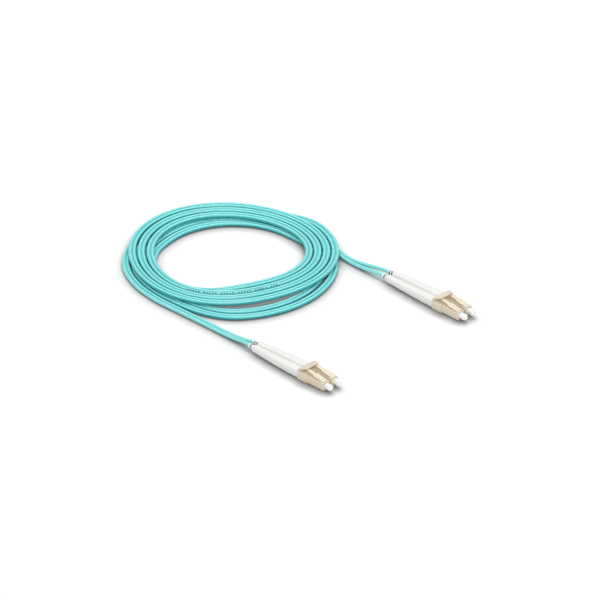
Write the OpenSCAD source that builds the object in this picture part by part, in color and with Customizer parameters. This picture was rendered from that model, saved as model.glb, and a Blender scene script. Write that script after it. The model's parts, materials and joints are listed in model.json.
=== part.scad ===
// Duplex fibre optic patch cord with an LC-type duplex connector on each end of a coiled zipcord.
// Millimetres, +Z up. The cord and both connectors lie on the plane z = 0. The origin is on that
// plane, midway between the connectors.

/* [Layout] */
// Distance between the two connectors, centre to centre
end_spacing = 100; // [96:1:104]
// Distance between the two plugs of one connector
plug_pitch = 6.25; // [6.1:0.05:6.6]
// Facets of a circle, where it is drawn as a mesh
$fn = 64; // [48:16:96]

/* [Plug housing] */
// Width and height of the square plug body
body_side = 4.5; // [4.4:0.05:4.6]
// Rounding of the body's long edges
body_edge_r = 0.35; // [0.2:0.05:0.5]
// Length of the housing from nose face to rear face
housing_len = 18.2; // [17.6:0.1:18.6]
// Diameter of the nose cavity round the ferrule
nose_bore_d = 3.3; // [3.2:0.05:3.4]
// Depth of the nose cavity
nose_bore_depth = 2.5; // [2:0.1:2.8]
// Thickness of the wall that the ferrule's flange rests on
seat_wall = 1; // [0.8:0.1:1.2]
// Diameter of the hole for the ferrule in that wall
seat_hole_d = 1.6; // [1.45:0.05:1.8]
// Diameter of the spring chamber
chamber_d = 3; // [2.95:0.05:3.1]

/* [Latch] */
// Distance of the latch's root behind the nose face
latch_root_back = 0.85; // [0.7:0.05:1]
// Thickness of the latch at its root
latch_root_t = 0.54; // [0.5:0.02:0.6]
// Thickness of the latch from its shoulders back
latch_t = 0.8; // [0.7:0.05:0.9]
// Width in front of the shoulders
latch_front_w = 3.3; // [3:0.1:3.5]
// Width behind the shoulders
latch_rear_w = 2; // [1.6:0.1:2.3]
// Distance of the shoulders behind the nose face
shoulder_back = 8.2; // [7.8:0.1:8.6]
// Distance of the latch's rear end in front of the clip's rear face
latch_end_ahead = 4.9; // [4.6:0.1:5.2]
// Length of the level pad at the latch's rear end
latch_pad = 0.9; // [0.6:0.1:1.2]
// Rise of the latch, in degrees
latch_rise = 9.5; // [9:0.25:10.5]
// Depth of the relief under the latch in the top of the housing
relief_depth = 0.3; // [0.25:0.05:0.35]
// Length of that relief behind the nose face
relief_len = 6.2; // [5.8:0.1:7]

/* [Ferrule train] */
// Ferrule diameter
ferrule_d = 1.249; // [1.247:0.001:1.251]
// Length of the ferrule
ferrule_len = 6.6; // [6.4:0.1:6.8]
// Length of ferrule that stands out of the nose
ferrule_out = 2; // [1.8:0.1:2.2]
// Way that the ferrule can be pushed back
ferrule_travel = 1.5; // [1:0.1:1.6]
// Size of the six-sided flange across its corners
flange_d = 2.8; // [2.7:0.05:2.85]
// Length of the flange
flange_len = 1.85; // [1.6:0.05:2]
// Outer diameter of the flange's tail tube
tail_tube_d = 1.5; // [1.4:0.05:1.6]
// Length of the tail tube
tail_tube_len = 3.6; // [3.2:0.1:3.8]
// Spring wire diameter
spring_wire_d = 0.3; // [0.25:0.01:0.32]
// Mean diameter of the spring
spring_d = 2.2; // [2.15:0.05:2.3]
// Turns of the spring
spring_turns = 6; // [5:1:8]
// Buffered fibre diameter
buffer_d = 0.9; // [0.85:0.01:0.92]

/* [Rear body and crimp] */
// Diameter of the rear body's barrel
barrel_d = 3.3; // [3.2:0.05:3.35]
// Bore of the barrel, which the tail tube can enter
barrel_bore_d = 1.8; // [1.75:0.05:1.9]
// Thickness of the rear body's stop flange
stop_t = 0.25; // [0.2:0.05:0.25]
// Diameter of the crimp post
post_d = 2.4; // [2.3:0.05:2.5]
// Length of the crimp post
post_len = 5; // [4.5:0.1:5.5]
// Bore of the crimp post
post_bore_d = 1.1; // [1.05:0.01:1.2]
// Length of the snap tabs along the barrel
tab_len = 1.2; // [1:0.1:1.4]
// Height of the snap tabs
tab_h = 1.4; // [1.2:0.1:1.6]
// Distance of the snap tabs in front of the housing's rear face
tab_ahead = 3.2; // [2.8:0.1:3.6]
// Wall of the crimp sleeve
crimp_wall = 0.4; // [0.3:0.05:0.45]
// Length of the sleeve's narrow part, which grips the jacket
crimp_neck_len = 3; // [2.5:0.1:3.5]

/* [Duplex clip and trigger] */
// Length of the clip
clip_len = 6.5; // [6.2:0.1:6.6]
// Wall of the clip round the plugs
clip_wall = 0.45; // [0.4:0.05:0.5]
// Rounding of the clip's long edges
clip_edge_r = 0.8; // [0.6:0.1:1]
// Thickness of the trigger
trigger_t = 0.95; // [0.85:0.05:1]
// Thickness of the trigger's hinge foot
trigger_foot_d = 0.6; // [0.5:0.02:0.62]
// Width of the trigger at its root
trigger_rear_w = 11; // [10.4:0.1:11.4]
// Width of the trigger at its front edge
trigger_front_w = 7.5; // [7:0.1:8]
// Inner radius of the bend at the trigger's root
trigger_bend_r = 0.65; // [0.55:0.05:0.75]
// Height of that bend's centre above the clip
trigger_bend_up = 0.18; // [0.14:0.01:0.3]
// Distance of the trigger's front edge in front of the clip's rear face
trigger_reach = 5.8; // [5.6:0.1:6.1]
// Gap between the trigger and the latches' rear ends
trigger_gap = 0.15; // [0.12:0.01:0.2]

/* [Boots and markers] */
// Length of a boot
boot_len = 35; // [33:0.5:36]
// Width of a boot at its front
boot_front_w = 5; // [4.9:0.05:5.2]
// Height of a boot at its front
boot_front_h = 4.8; // [4.7:0.05:5]
// Width of a boot at its rear end
boot_rear_w = 3.5; // [3.4:0.1:3.8]
// Height of a boot at its rear end
boot_rear_h = 3.5; // [3.4:0.1:3.8]
// Rounding of the boot's long edges at its front
boot_edge_r = 1.7; // [1.5:0.05:1.9]
// Length of the boot's front part, which doesn't taper
boot_grip_len = 7; // [5:0.5:9]
// Number of flex slots on each side of a boot
slot_count = 6; // [4:1:7]
// Distance between flex slots
slot_pitch = 2.4; // [2.2:0.1:2.6]
// Width of a flex slot
slot_w = 0.5; // [0.4:0.05:0.6]
// Depth of a flex slot
slot_depth = 0.35; // [0.3:0.05:0.4]
// Outer diameter of a marker sleeve
marker_d = 2.7; // [2.6:0.05:2.8]
// Length of a marker sleeve
marker_len = 3.6; // [3:0.1:3.8]

/* [Dust cap] */
// Diameter of the cap's knob
cap_d = 3.5; // [3.4:0.05:3.6]
// Length that the cap stands out of the nose
cap_out = 4.4; // [4.3:0.05:4.6]
// Length of the cap's skirt inside the nose cavity
cap_skirt_len = 2.3; // [1.9:0.1:2.35]
// Radial gap between the cap's bore and the ferrule
cap_grip_gap = 0.02; // [0.015:0.005:0.03]

/* [Cord] */
// Diameter of one jacket
jacket_d = 2; // [1.9:0.05:2.1]
// Bore of the jacket
jacket_bore_d = 1; // [0.98:0.01:1.05]
// Length of plain jacket that shows behind a marker sleeve
jacket_show = 1.2; // [1:0.1:2]
// Width of the zipcord, across both jackets
cord_w = 4.1; // [3.9:0.05:4.2]

/* [Coil] */
// Distance of the coil's centre behind the origin
coil_back = 97.5; // [96:0.5:99]
// Distance of the coil's centre from the middle of the connectors
coil_side = 3.5; // [3:0.5:4]
// Gap between neighbouring loops of the lower spiral
lower_gap = 0.52; // [0.5:0.01:0.55]
// Gap between neighbouring loops of the upper spiral
upper_gap = 0.72; // [0.7:0.01:0.75]
// Gap between the upper loops and the lower ones
layer_gap = 0.45; // [0.42:0.01:0.5]
// Radius of the lower spiral at its outer end
lower_r = 51; // [50.9:0.05:51.1]
// Radius of the upper spiral at its inner end
upper_r = 37.35; // [37.2:0.05:37.5]
// Distance by which the lower loops swing out at the front
front_swing = 6.9; // [6.6:0.1:7.2]
// Distance by which the upper spiral leans toward the back
upper_lean = 7.35; // [7.3:0.05:7.4]
// Radius of the last half loop, which lies outside the lower ones
last_r = 55.35; // [55.3:0.05:55.6]

/* [Hidden] */
fit = 0.05;            // gap round pieces that are fixed in each other
hinge_gap = 0.06;      // gap round a hinge foot in its groove
crimp_gap = 0.45;      // length left free in front of each step of the crimp sleeve
eps = 0.01;            // overcut of holes

// Places along a plug, with x = 0 at the nose face and +x out of the nose
body_half = body_side / 2;
housing_rear = -housing_len;
seat_x = -nose_bore_depth - seat_wall;
ferrule_rear = ferrule_out - ferrule_len;
flange_front = seat_x - fit;
flange_rear = flange_front - flange_len;
tail_rear = flange_rear - tail_tube_len;
barrel_front = tail_rear - ferrule_travel - 2 * fit;
chamber_rear = barrel_front + fit;
stop_rear = housing_rear - stop_t;
post_rear = stop_rear - post_len;
clip_rear = stop_rear - fit;
crimp_d = post_d + 2 * fit + 2 * crimp_wall;
tab_x = housing_rear + tab_ahead;
crimp_front = stop_rear - crimp_gap;
crimp_step = post_rear - crimp_gap;
crimp_rear = crimp_step - crimp_neck_len;
neck_bore_d = jacket_d + 2 * fit;
jacket_front = crimp_step - 2 * fit;
boot_front = clip_rear - fit;
boot_rear = boot_front - boot_len;
marker_front = boot_rear - fit;
marker_rear = marker_front - marker_len;
jacket_rear = marker_rear - jacket_show;
buffer_front = ferrule_rear - 0.15;
buffer_rear = jacket_rear + ferrule_travel + 0.3;

// Heights above the surface, and the plugs' places in the part
channel_side = body_side + 2 * fit;
axis_z = clip_wall + channel_side / 2;
clip_h = channel_side + 2 * clip_wall;
clip_w = plug_pitch + clip_h;
nose_x = -(jacket_rear + cap_out) / 2;

// Latch outline, in heights above the plug's axis
relief_floor = body_half - relief_depth;
latch_foot_r = latch_root_t / 2;
latch_hinge = [-latch_root_back, relief_floor + hinge_gap + latch_foot_r];
shoulder_x = -shoulder_back;
latch_end_x = clip_rear + latch_end_ahead;
pad_x = latch_end_x + latch_pad;
function latch_top(x) = latch_hinge.y + latch_foot_r + (latch_hinge.x - x) * tan(latch_rise);
pad_z = latch_top(pad_x);

// Trigger outline: a round foot, a bend, and a plate that rises to the front
trigger_foot_r = trigger_foot_d / 2;
clip_top = clip_h / 2;
trigger_hinge = [clip_rear + 0.2 + trigger_foot_r, clip_top + 0.12];
bend_r = trigger_bend_r + trigger_t;
bend_x = trigger_hinge.x - trigger_foot_r + bend_r;
bend_z = clip_top + trigger_bend_up;
trigger_front = clip_rear + trigger_reach;
// the plate's underside is tangent to the bend and clears the rear ends of the latches
latch_corner = [latch_end_x - bend_x, pad_z + trigger_gap - bend_z];
trigger_rise = atan2(latch_corner.y, latch_corner.x) - asin(trigger_bend_r / norm(latch_corner));

// The plugs: name, end (-1 is A, 1 is B) and side in the connector
PLUGS = [["a1", -1, -1], ["a2", -1, 1], ["b1", 1, -1], ["b2", 1, 1]];
ENDS = [["a", -1], ["b", 1]];
PLUG_PARTS = ["plug_housing", "latch", "ferrule", "ferrule_flange", "ferrule_spring", "rear_body",
              "crimp_sleeve", "boot", "dust_cap", "marker_sleeve", "fibre_buffer", "cord_jacket"];
END_PARTS = ["duplex_clip", "trigger", "cord_tail"];

// ---- shapes that repeat ----

module rounded_rect(w, h, r) {
    square([w - 2 * r, h], center = true);
    square([w, h - 2 * r], center = true);
    for (sx = [-1, 1], sy = [-1, 1])
        translate([sx * (w / 2 - r), sy * (h / 2 - r)]) circle(r);
}

// A bar along x from x0 back to x1 with the 2D outline of its children, in y and z
module bar(x0, x1) {
    translate([x1, 0, 0]) rotate([90, 0, 90]) linear_extrude(x0 - x1) children();
}

// A round bar or hole along x
module rod(d, x0, x1) {
    translate([x1, 0, 0]) rotate([0, 90, 0]) cylinder(d = d, h = x0 - x1);
}

// A side outline, in x and z, made w wide across y
module across(w) {
    translate([0, w / 2, 0]) rotate([90, 0, 0]) linear_extrude(w) children();
}

function arc(centre, r, from, to, steps = 8) =
    [for (i = [0 : steps]) let (a = from + (to - from) * i / steps) centre + r * [cos(a), sin(a)]];
function mirrored(points) = [for (i = [len(points) - 1 : -1 : 0]) [points[i].x, -points[i].y]];

// ---- plug housing and latch ----

module plug_housing() {
    color([0.94, 0.87, 0.78])
    difference() {
        bar(0, housing_rear) rounded_rect(body_side, body_side, body_edge_r);
        rod(nose_bore_d, eps, -nose_bore_depth);
        rod(seat_hole_d, 0, seat_x - eps);
        rod(chamber_d, seat_x, chamber_rear - eps);
        rod(barrel_d + 2 * fit, chamber_rear, housing_rear - eps);
        // relief under the latch
        translate([-relief_len, -latch_front_w / 2 - 0.15, relief_floor])
            cube([relief_len - 0.4, latch_front_w + 0.3, body_half]);
        // windows for the rear body's snap tabs
        translate([tab_x, 0, 0])
            cube([tab_len + 2 * fit, body_side + 1, tab_h + 2 * fit], center = true);
    }
}

module latch_side() {
    polygon([
        [latch_hinge.x, latch_top(latch_hinge.x)],
        [latch_hinge.x, latch_hinge.y - latch_foot_r],
        [shoulder_x, latch_top(shoulder_x) - latch_t],
        [pad_x, pad_z - latch_t],
        [latch_end_x, pad_z - latch_t],
        [latch_end_x, pad_z],
        [pad_x, pad_z],
    ]);
}

// Seen from above: wide to the shoulders, then narrow, with rounded corners
module latch_plan() {
    front_half_w = latch_front_w / 2;
    rear_half_w = latch_rear_w / 2;
    corner_r = 0.3;
    half = concat([[latch_hinge.x, front_half_w]],
                  arc([shoulder_x + corner_r, front_half_w - corner_r], corner_r, 90, 180),
                  [[shoulder_x, rear_half_w]],
                  arc([latch_end_x + corner_r, rear_half_w - corner_r], corner_r, 90, 180));
    polygon(concat(half, mirrored(half)));
}

module latch() {
    color([0.95, 0.89, 0.81]) {
        hinge_foot(latch_hinge, latch_foot_r, latch_front_w);
        intersection() {
            across(latch_front_w + 1) latch_side();
            linear_extrude(2 * clip_h, center = true) latch_plan();
        }
    }
}

module hinge_foot(hinge, r, w) {
    translate([hinge.x, 0, hinge.y]) rotate([90, 0, 0]) cylinder(r = r, h = w, center = true);
}

// ---- ferrule train ----

module ferrule() {
    chamfer = 0.15;
    r = ferrule_d / 2;
    color([0.97, 0.96, 0.93])
    rotate([0, 90, 0]) rotate_extrude()
        polygon([[0, ferrule_rear], [r - chamfer, ferrule_rear], [r, ferrule_rear + chamfer],
                 [r, ferrule_out - chamfer], [r - chamfer, ferrule_out], [0, ferrule_out]]);
}

module ferrule_flange() {
    color([0.75, 0.74, 0.7])
    difference() {
        union() {
            translate([flange_rear, 0, 0]) rotate([0, 90, 0]) cylinder(d = flange_d, h = flange_len, $fn = 6);
            rod(tail_tube_d, flange_rear + eps, tail_rear);
        }
        rod(ferrule_d + 0.02, flange_front + eps, ferrule_rear - 0.05);
        rod(buffer_d + fit, ferrule_rear, tail_rear - eps);
    }
}

module fibre_buffer() {
    color([0.2, 0.72, 0.75]) rod(buffer_d, buffer_front, buffer_rear);
}

// Compression spring between the flange and the rear body, as one swept wire
module ferrule_spring() {
    per_turn = 8;
    steps = spring_turns * per_turn;
    r = spring_wire_d / 2;
    x0 = barrel_front + fit + r;
    x1 = flange_rear - fit - r;
    lean = atan((x1 - x0) / spring_turns / (PI * spring_d));
    rings = [for (i = [0 : steps]) let (a = 360 * i / per_turn, n = [0, cos(a), sin(a)],
                 b = [cos(lean), sin(lean) * sin(a), -sin(lean) * cos(a)],
                 c = [x0 + (x1 - x0) * i / steps, 0, 0] + n * spring_d / 2)
             [for (k = [0 : 5]) c + r * (n * cos(60 * k) + b * sin(60 * k))]];
    color([0.72, 0.73, 0.75]) tube(rings);
}

// ---- rear body, crimp sleeve, boot, cap, marker and jacket ----

module rear_body() {
    color([0.72, 0.72, 0.74])
    difference() {
        union() {
            rod(barrel_d, barrel_front, housing_rear);
            bar(housing_rear, stop_rear) rounded_rect(body_side, body_side, body_edge_r);
            rod(post_d, stop_rear + eps, post_rear);
            translate([tab_x, 0, 0]) cube([tab_len, body_side - 0.3, tab_h], center = true);
        }
        rod(barrel_bore_d, barrel_front + eps, stop_rear);
        rod(post_bore_d, stop_rear + eps, post_rear - eps);
    }
}

module crimp_sleeve() {
    color([0.8, 0.79, 0.76])
    difference() {
        union() {
            rod(crimp_d, crimp_front, crimp_step);
            rod(neck_bore_d + 2 * crimp_wall, crimp_step + eps, crimp_rear);
        }
        rod(crimp_d - 2 * crimp_wall, crimp_front + eps, crimp_step + crimp_wall);
        rod(neck_bore_d, crimp_step + 1, crimp_rear - eps);
    }
}

module boot() {
    color([0.95, 0.95, 0.95])
    difference() {
        hull() {
            bar(boot_front, boot_front - boot_grip_len)
                rounded_rect(boot_front_w, boot_front_h, boot_edge_r, $fn = 32);
            bar(boot_rear + 0.1, boot_rear)
                rounded_rect(boot_rear_w, boot_rear_h, boot_edge_r * boot_rear_w / boot_front_w, $fn = 32);
        }
        rod(crimp_d + 2 * fit, boot_front + eps, crimp_rear - fit);
        rod(neck_bore_d, crimp_rear, boot_rear - eps);
        for (i = [0 : slot_count - 1]) flex_slots(boot_rear + slot_pitch * (i + 1));
    }
}

// One row of slots round the boot: on both sides, and half a step on, above and below
module flex_slots(x) {
    taper = (x - boot_rear) / (boot_len - boot_grip_len);
    half_w = (boot_rear_w + (boot_front_w - boot_rear_w) * taper) / 2;
    half_h = (boot_rear_h + (boot_front_h - boot_rear_h) * taper) / 2;
    slot_h = 2;
    for (s = [-1, 1]) {
        translate([x, s * half_w, 0]) cube([slot_w, 2 * slot_depth, slot_h], center = true);
        translate([x + slot_pitch / 2, 0, s * half_h]) cube([slot_w, slot_h, 2 * slot_depth], center = true);
    }
}

module dust_cap() {
    knob_back = 0.12;
    skirt_d = nose_bore_d - 4 * fit;
    bore_end = ferrule_out + 0.35;
    color([0.98, 0.98, 0.99])
    difference() {
        union() {
            rod(cap_d, cap_out - cap_d / 2, knob_back);
            translate([cap_out - cap_d / 2, 0, 0]) sphere(d = cap_d);
            rod(skirt_d, knob_back + eps, -cap_skirt_len);
        }
        rod(ferrule_d + 2 * cap_grip_gap, bore_end, -cap_skirt_len - eps);
    }
}

module marker_sleeve() {
    color([0.9, 0.92, 0.92])
    difference() {
        rod(marker_d, marker_front, marker_rear);
        rod(neck_bore_d, marker_front + eps, marker_rear - eps);
    }
}

module cord_jacket() {
    color([0.38, 0.85, 0.84])
    difference() {
        rod(jacket_d, jacket_front, jacket_rear);
        rod(jacket_bore_d, jacket_front + eps, jacket_rear - eps);
    }
}

// ---- duplex clip and trigger ----

module duplex_clip() {
    color([0.92, 0.85, 0.75])
    difference() {
        bar(clip_rear + clip_len, clip_rear) rounded_rect(clip_w, clip_h, clip_edge_r);
        for (s = [-1, 1])
            translate([0, s * plug_pitch / 2, 0])
                bar(clip_rear + clip_len + eps, clip_rear - eps)
                    rounded_rect(channel_side, channel_side, body_edge_r);
        // groove for the trigger's foot
        hinge_foot(trigger_hinge, trigger_foot_r + hinge_gap, clip_w + 1);
    }
}

module trigger_side() {
    bend = [bend_x, bend_z];
    mid_r = trigger_bend_r + trigger_t / 2;
    edge_r = trigger_t / 2;
    normal = 90 + trigger_rise;
    plate_len = (trigger_front - edge_r - bend_x + mid_r * sin(trigger_rise)) / cos(trigger_rise);
    front = bend + plate_len * [cos(trigger_rise), sin(trigger_rise)] + mid_r * [cos(normal), sin(normal)];
    polygon(concat(
        [[trigger_hinge.x - trigger_foot_r, trigger_hinge.y]],
        arc(bend, bend_r, 180, normal),
        arc(front, edge_r, normal, normal - 180),
        arc(bend, trigger_bend_r, normal, 150),
        [[trigger_hinge.x + trigger_foot_r, trigger_hinge.y]]));
}

module trigger_plan() {
    rear = trigger_hinge.x - trigger_foot_r - 1;
    half = [[trigger_front + 1, trigger_front_w / 2], [bend_x, trigger_rear_w / 2], [rear, trigger_rear_w / 2]];
    polygon(concat(half, mirrored(half)));
}

module trigger() {
    color([0.96, 0.9, 0.82]) {
        hinge_foot(trigger_hinge, trigger_foot_r, trigger_rear_w);
        intersection() {
            across(trigger_rear_w + 1) trigger_side();
            linear_extrude(4 * clip_h, center = true) trigger_plan();
        }
    }
}

// ---- cord ----

// Outline of the flat zipcord with 6 corners, and with 8
flat6 = [for (s = [[1, 0], [1, 1], [-1, 1], [-1, 0], [-1, -1], [1, -1]])
         [s.x * (cord_w - abs(s.y) * jacket_d) / 2, s.y * jacket_d / 2]];
bevel = 0.55;
flat8 = [for (q = [[1, 1], [-1, 1], [-1, -1], [1, -1]])
         let (low = [q.x * cord_w / 2, q.y * (jacket_d / 2 - bevel)],
              high = [q.x * (cord_w / 2 - bevel), q.y * jacket_d / 2])
         each q.x * q.y > 0 ? [low, high] : [high, low]];
round8 = [for (k = [0 : 7]) jacket_d / 2 * [cos(45 * k + 22.5), sin(45 * k + 22.5)]];

// A closed tube through rings of corners, each ring counter-clockwise seen from the end
module tube(rings) {
    n = len(rings[0]);
    last = len(rings) - 1;
    sides = [for (i = [0 : last - 1], k = [0 : n - 1]) let (a = i * n + k, b = i * n + (k + 1) % n)
             each [[a, b, b + n], [a, b + n, a + n]]];
    caps = [for (k = [1 : n - 2]) each [[0, k + 1, k], [last * n, last * n + k, last * n + k + 1]]];
    polyhedron([for (r = rings) each r], concat(sides, caps));
}

function smooth(a, b, x) = let (s = min(1, max(0, (x - a) / (b - a)))) s * s * (3 - 2 * s);
function unit(v) = v / norm(v);
function side_of(d) = [-d.y, d.x, 0] / norm([d.x, d.y]);
function ring(p, d, outline) = let (n = side_of(d), up = cross(unit(d), n))
    [for (c = outline) p - n * c.x + up * c.y];

// The coil runs counter-clockwise, t counts its turns and a is the direction from its centre.
// The lower spiral lies on the surface and runs inward. The cord then climbs on top of it and
// spirals outward in another shape, so that the upper loops cross the lower ones. The last half
// loop comes down to the surface outside the others.
loop_steps = 24;                   // rings in a loop
coil_first = -1 / loop_steps;
coil_last = 6 + 11 / loop_steps;
start_angle = 88.8;                // direction of t = 0
start_turns = 0.25;                // turns before the lower loops begin to swing
start_swing = 3.3;                 // how far out the coil begins
start_swing_end = 0.1;             // the turn at which that has gone
front_window = [40, 90];           // angles from the front between which the front swing fades
front_loss = 0.7;                  // how much less each further loop swings out there
left_swing = 1.3;                  // a second, smaller swing
left_angle = 222;
left_window = [8, 36];
reverse_turns = [2.38, 2.55];      // where the cord passes from the lower spiral to the upper one
climb_turns = [2.51, 2.66];
upper_first = 2.63;                // the turn at which upper_r holds
lean_angle = 144;
pitch_swell = 0.25;                // the upper loops lie further apart at the front and back
swell_angle = 350;
upper_oval = 1.2;
oval_angle = 63;
upper_corner = 1.2;                // rounded corners, three to a loop
corner_angle = 52;
tuck_turns = [5.97, 6.14];         // where the cord passes to the last half loop
drop_turns = [5.97, 6.05];
end_bend = 1.6;                    // how far the end of the last half loop bends in
bend_turns = [6.37, 6.47];

lower_pitch = cord_w + lower_gap;
upper_pitch = cord_w + upper_gap;
layer_rise = jacket_d + layer_gap;

function turned(a, from) = abs((a - from + 540) % 360 - 180);
function within(window, a, from) = 1 - smooth(window[0], window[1], turned(a, from));
function lower_coil_r(t, a) = let (
        swing = within(front_window, a, 0) * (front_swing - front_loss * (t - 0.75))
              + within(left_window, a, left_angle) * left_swing,
        start = start_swing * (1 - smooth(coil_first, start_swing_end, t)))
    lower_r - lower_pitch * t + (t < start_turns ? start : swing);
function upper_coil_r(t, a) = let (pitch = upper_pitch + pitch_swell * cos(2 * (a - swell_angle)))
    upper_r + pitch * (t - upper_first) + upper_lean * cos(a - lean_angle)
    + upper_oval * cos(2 * (a - oval_angle)) + upper_corner * cos(3 * (a - corner_angle));
function coil_r(t, a) = let (
        up = smooth(reverse_turns[0], reverse_turns[1], t),
        tuck = smooth(tuck_turns[0], tuck_turns[1], t),
        last = last_r - end_bend * smooth(bend_turns[0], bend_turns[1], t))
    (lower_coil_r(t, a) * (1 - up) + upper_coil_r(t, a) * up) * (1 - tuck) + last * tuck;
function coil_z(t) = let (drop = smooth(drop_turns[0], drop_turns[1], t))
    jacket_d / 2 + layer_rise * smooth(climb_turns[0], climb_turns[1], t) * (1 - drop);
function coil_point(t) = let (a = start_angle + 360 * t, r = coil_r(t, a))
    [r * cos(a) - coil_back, r * sin(a) + coil_side, coil_z(t)];
function coil_dir(t) = let (d = coil_point(t + 0.002) - coil_point(t - 0.002)) unit([d.x, d.y, 0]);
coil_start = coil_point(coil_first) - cord_w * coil_dir(coil_first);
coil_end = coil_point(coil_last) + cord_w * coil_dir(coil_last);

// Least distance between the outlines of two parallel stretches of flat cord
function to_segment(p, a, b) = let (k = min(1, max(0, (p - a) * (b - a) / ((b - a) * (b - a)))))
    norm(p - a - k * (b - a));
function cord_gap(dr, dz) = let (edge = [cord_w, 0], corner = [cord_w - jacket_d, jacket_d], top = [0, jacket_d])
    min(to_segment([dr, dz], edge, corner), to_segment([dr, dz], corner, top));
coil_t = [for (i = [0 : round((coil_last - coil_first) * loop_steps)]) coil_first + i / loop_steps];
coil_gaps = [for (i = [0 : len(coil_t) - 1 - loop_steps], j = [i + loop_steps : loop_steps : len(coil_t) - 1])
             let (d = coil_point(coil_t[j]) - coil_point(coil_t[i]))
             cord_gap(min(abs(d * side_of(coil_dir(coil_t[i]))), abs(d * side_of(coil_dir(coil_t[j])))), abs(d.z))];
echo(coil_least_gap = min(coil_gaps));

module cord_coil() {
    rings = concat([ring(coil_start, coil_dir(coil_first), flat6)],
                   [for (t = coil_t) ring(coil_point(t), coil_dir(t), flat6)],
                   [ring(coil_end, coil_dir(coil_last), flat6)]);
    color([0.38, 0.85, 0.84]) tube(rings);
}

// Routes from the coil to the plugs: x, y, z and half the distance between the two jackets
joined = (cord_w - jacket_d) / 2;
route_a = [
    [-98, -50.1, 1, joined], [-90, -50.1, 1, joined], [-82, -50, 1, joined], [-74, -49.9, 1, joined],
    [-66, -49.8, 1, joined], [-58, -49.8, 1.05, joined], [-50, -49.9, 1.2, joined],
    [-43, -50, 1.6, joined], [-38, -50, 2.2, 1.3], [-34.5, -50, 2.6, 2.5],
];
route_b = [
    [-69, 51.5, 1, joined], [-62, 49.7, 1, joined], [-57, 49, 1, 1.2], [-51, 48.9, 1.1, 1.7],
    [-45, 49.2, 1.5, 2.1], [-39, 49.7, 2.1, 2.6], [-34.5, 49.9, 2.6, 3],
];

module cord_tail(end) {
    route = end < 0 ? route_a : route_b;
    from = end < 0 ? coil_end : coil_start;
    away = end < 0 ? coil_dir(coil_last) : -coil_dir(coil_first);
    plug = [nose_x + jacket_rear, end * end_spacing / 2, axis_z, plug_pitch / 2];
    points = concat([[each from, joined], [each (from + cord_w * away), joined]], route,
                    [plug - [jacket_d, 0, 0, 0], plug]);
    split = [for (i = [0 : len(points) - 1]) if (points[i][3] > joined) i][0];
    color([0.38, 0.85, 0.84]) union() {
        tube([for (i = [0 : split - 1]) ring(xyz(points[i]), route_dir(points, i, away), flat8)]);
        for (s = [-1, 1])
            tube([for (i = [split - 2 : len(points) - 1]) let (d = route_dir(points, i, away))
                  ring(xyz(points[i]) + s * points[i][3] * side_of(d), d, round8)]);
    }
}

function xyz(p) = [p.x, p.y, p.z];
// Direction of a route at point i: straight over the first and last two points
function route_dir(points, i, away) = let (last = len(points) - 1)
    i < 2 ? away : i > last - 2 ? [1, 0, 0] : unit(xyz(points[i + 1]) - xyz(points[i - 1]));

// ---- the nodes ----

module at_plug(p) {
    translate([nose_x, p[1] * end_spacing / 2 + p[2] * plug_pitch / 2, axis_z]) children();
}

module at_end(e) {
    translate([nose_x, e[1] * end_spacing / 2, axis_z]) children();
}

module plug_part(name) {
    if (name == "plug_housing") plug_housing();
    if (name == "latch") latch();
    if (name == "ferrule") ferrule();
    if (name == "ferrule_flange") ferrule_flange();
    if (name == "ferrule_spring") ferrule_spring();
    if (name == "rear_body") rear_body();
    if (name == "crimp_sleeve") crimp_sleeve();
    if (name == "boot") boot();
    if (name == "dust_cap") dust_cap();
    if (name == "marker_sleeve") marker_sleeve();
    if (name == "fibre_buffer") fibre_buffer();
    if (name == "cord_jacket") cord_jacket();
}

for (p = PLUGS, s = PLUG_PARTS)
    at_plug(p) plug_part(s);
for (e = ENDS) {
    at_end(e) duplex_clip();
    at_end(e) trigger();
    cord_tail(e[1]);
}
cord_coil();
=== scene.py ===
import json
import math
import bmesh
import bpy
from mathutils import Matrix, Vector


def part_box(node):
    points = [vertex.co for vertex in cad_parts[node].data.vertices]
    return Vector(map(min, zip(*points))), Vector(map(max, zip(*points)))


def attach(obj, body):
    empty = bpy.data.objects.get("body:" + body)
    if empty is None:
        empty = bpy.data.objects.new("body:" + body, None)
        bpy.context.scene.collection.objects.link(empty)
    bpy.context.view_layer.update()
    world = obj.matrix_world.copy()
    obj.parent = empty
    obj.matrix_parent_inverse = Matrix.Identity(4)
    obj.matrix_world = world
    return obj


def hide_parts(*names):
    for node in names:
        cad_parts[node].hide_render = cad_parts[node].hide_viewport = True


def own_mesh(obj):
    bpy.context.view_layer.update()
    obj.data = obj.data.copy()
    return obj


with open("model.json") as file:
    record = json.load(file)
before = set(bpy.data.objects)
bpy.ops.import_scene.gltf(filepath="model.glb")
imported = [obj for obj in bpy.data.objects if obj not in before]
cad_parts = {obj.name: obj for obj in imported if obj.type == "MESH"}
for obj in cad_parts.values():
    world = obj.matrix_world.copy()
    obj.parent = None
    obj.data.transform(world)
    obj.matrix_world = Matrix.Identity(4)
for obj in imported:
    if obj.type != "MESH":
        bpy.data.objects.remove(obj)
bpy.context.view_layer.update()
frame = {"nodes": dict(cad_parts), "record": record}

scene = bpy.context.scene
root = "connectors_and_cord"
ends = {"a": -1, "b": 1}
plugs = ["a1", "a2", "b1", "b2"]


def addObject(name, mesh, body, slotName, *replaced):
    # every finished piece goes through here: linked, riding on its body, standing for its nodes
    piece = bpy.data.objects.new(name, mesh)
    scene.collection.objects.link(piece)
    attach(piece, body)
    if replaced:
        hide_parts(*replaced)
    return piece


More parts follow.
